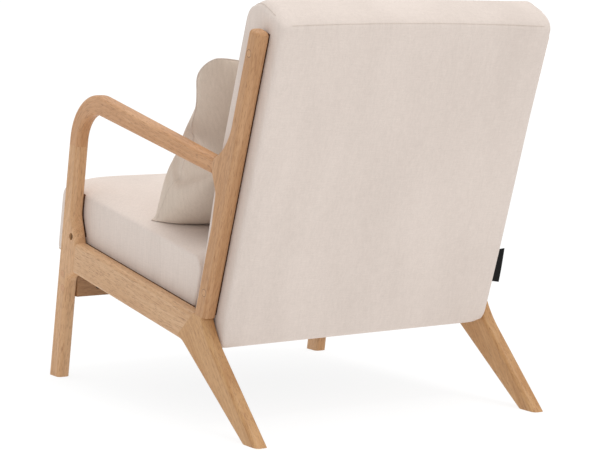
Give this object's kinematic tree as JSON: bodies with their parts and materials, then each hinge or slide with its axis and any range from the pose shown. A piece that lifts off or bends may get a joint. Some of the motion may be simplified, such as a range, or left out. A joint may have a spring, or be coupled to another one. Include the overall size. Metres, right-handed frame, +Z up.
{
  "type": "armchair",
  "caption": "Low wooden lounge armchair with bent arms, splayed rear legs, an upholstered seat box and back, and a loose lumbar pillow.",
  "frame": {"origin": "on the floor, under the middle of the chair's outline", "axes": "+Z up; -Y is the way a sitter faces; +X is the sitter's left"},
  "size_m": [0.64, 0.7769, 0.7462],
  "materials": {
    "wood": "satin lacquered hardwood",
    "dowel_wood": "raw",
    "plug_wood": "satin lacquered end grain",
    "inner_wood": "raw sawn",
    "steel": "dark zinc plated",
    "insert_steel": "zinc plated",
    "spring_steel": "plain",
    "clip_plastic": "matte",
    "foam": "matte open foam",
    "cover_fabric": "woven linen look",
    "pillow_fabric": "woven linen look",
    "dust_fabric": "matte non-woven",
    "webbing": "woven elastic webbing",
    "tag_fabric": "plain woven"
  },
  "bodies": {
    "chair": {"front_leg_left": "wood", "armrest_left": "wood", "side_rail_left": "wood", "rear_leg_left": "wood", "back_upright_left": "wood", "front_leg_right": "wood", "armrest_right": "wood", "side_rail_right": "wood", "rear_leg_right": "wood", "back_upright_right": "wood", "front_apron": "wood", "rear_cross_rail": "wood", "armrest_dowels": "dowel_wood", "rail_dowels": "dowel_wood", "upright_dowels": "dowel_wood", "cross_rail_dowels": "dowel_wood", "seat_bolts": "steel", "back_bolts": "steel", "apron_bolts": "steel", "bolt_washers": "steel", "apron_barrel_nuts": "steel", "seat_insert_nuts": "insert_steel", "back_insert_nuts": "insert_steel", "back_bolt_plugs": "plug_wood", "apron_bolt_plugs": "plug_wood", "seat_frame_front": "inner_wood", "seat_frame_rear": "inner_wood", "seat_frame_left": "inner_wood", "seat_frame_right": "inner_wood", "seat_corner_blocks": "inner_wood", "back_frame_top": "inner_wood", "back_frame_bottom": "inner_wood", "back_frame_left": "inner_wood", "back_frame_right": "inner_wood", "seat_springs": "spring_steel", "seat_spring_clips": "clip_plastic", "seat_foam": "foam", "seat_cover": "cover_fabric", "seat_dust_cover": "dust_fabric", "back_webbing": "webbing", "back_foam": "foam", "back_rear_wadding": "foam", "back_cover": "cover_fabric", "sewn_tag": "tag_fabric"},
    "pillow": {"pillow_cover": "pillow_fabric", "pillow_fill": "foam"}
  },
  "joints": [
    {"name": "pillow_lift", "type": "slide", "parent": "chair", "child": "pillow", "axis": [0, 0, 1], "range_m": [0, 0.4]}
  ]
}
